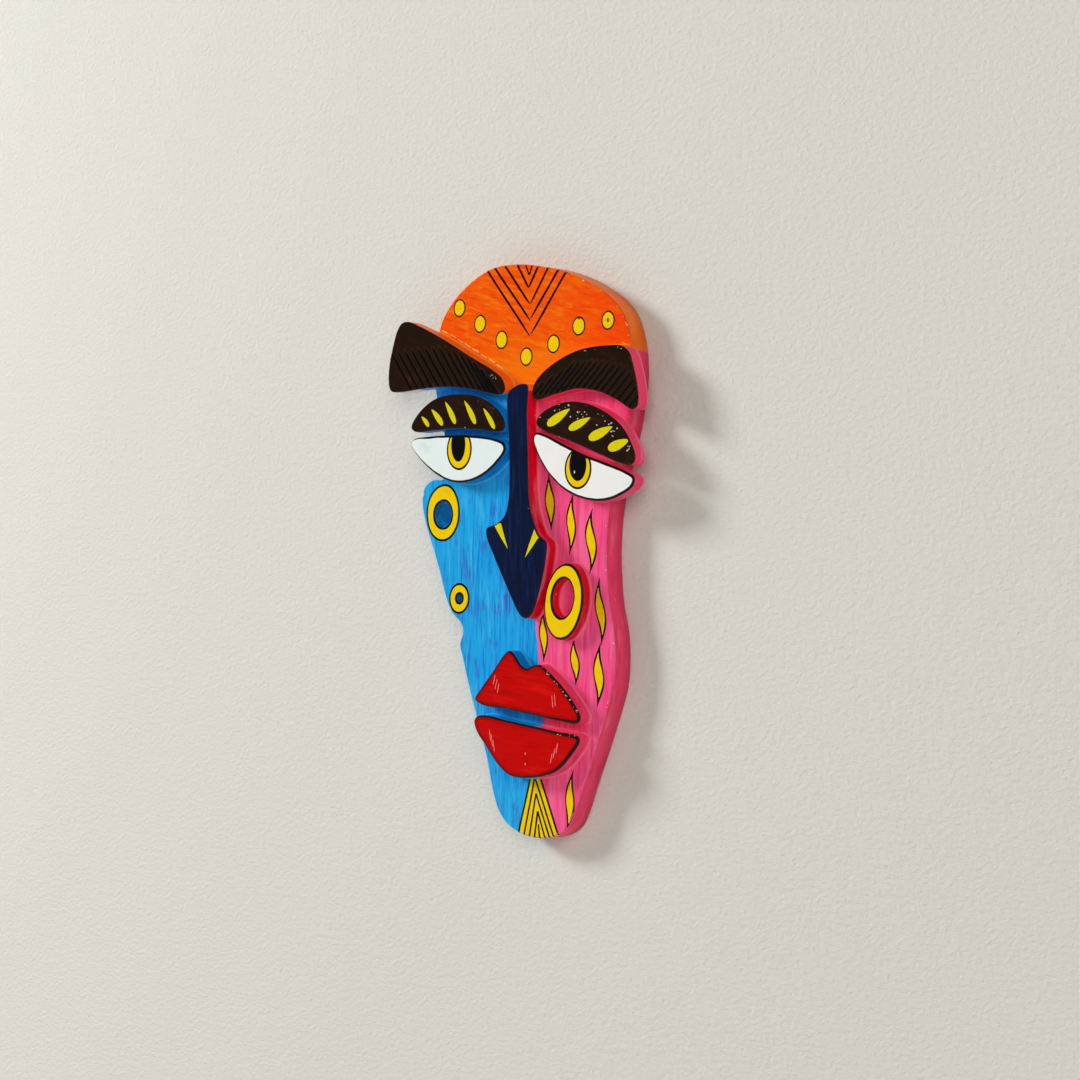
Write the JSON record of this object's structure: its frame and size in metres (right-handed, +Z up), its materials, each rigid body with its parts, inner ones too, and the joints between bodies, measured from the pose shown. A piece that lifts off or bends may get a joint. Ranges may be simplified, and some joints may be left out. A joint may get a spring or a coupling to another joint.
{
  "type": "wall mask",
  "caption": "Painted wooden wall mask: a long asymmetric face board with glued relief brows, lids, eyes, nose, lips and cheek ring, and a recessed hanger with a swinging ring on the back.",
  "frame": {"origin": "on the flat back of the board, halfway up, on the vertical line through the hanging ring", "axes": "+X to the right as seen from the front, +Y into the wall, +Z up towards the forehead"},
  "size_m": [0.1864, 0.0197, 0.2992],
  "materials": {
    "board_paint": "semi-gloss paint: orange forehead, blue left, pink right, raw wood behind",
    "dark_paint": "semi-gloss dark brown paint over carved grooves",
    "eye_paint": "semi-gloss white paint, black outline, yellow iris",
    "nose_paint": "semi-gloss navy paint with crimson sides",
    "ring_paint": "semi-gloss yellow paint, dark outline",
    "lip_paint": "semi-gloss red paint, dark outline",
    "hanger_steel": "zinc plated"
  },
  "bodies": {
    "mask": {"face_board": "board_paint", "brow_left": "dark_paint", "brow_right": "dark_paint", "eyelid_left": "dark_paint", "eyelid_right": "dark_paint", "eye_left": "eye_paint", "eye_right": "eye_paint", "nose": "nose_paint", "cheek_ring": "ring_paint", "upper_lip": "lip_paint", "lower_lip": "lip_paint", "hanger_strap": "hanger_steel", "hanger_screw_upper": "hanger_steel", "hanger_screw_lower": "hanger_steel"},
    "hanger_ring": {"hanger_ring": "hanger_steel"}
  },
  "joints": [
    {"name": "ring_swing", "type": "hinge", "parent": "mask", "child": "hanger_ring", "pos_m": [0, -0.0025, 0.1], "axis": [-1, 0, 0], "range_deg": [0, 175]}
  ]
}
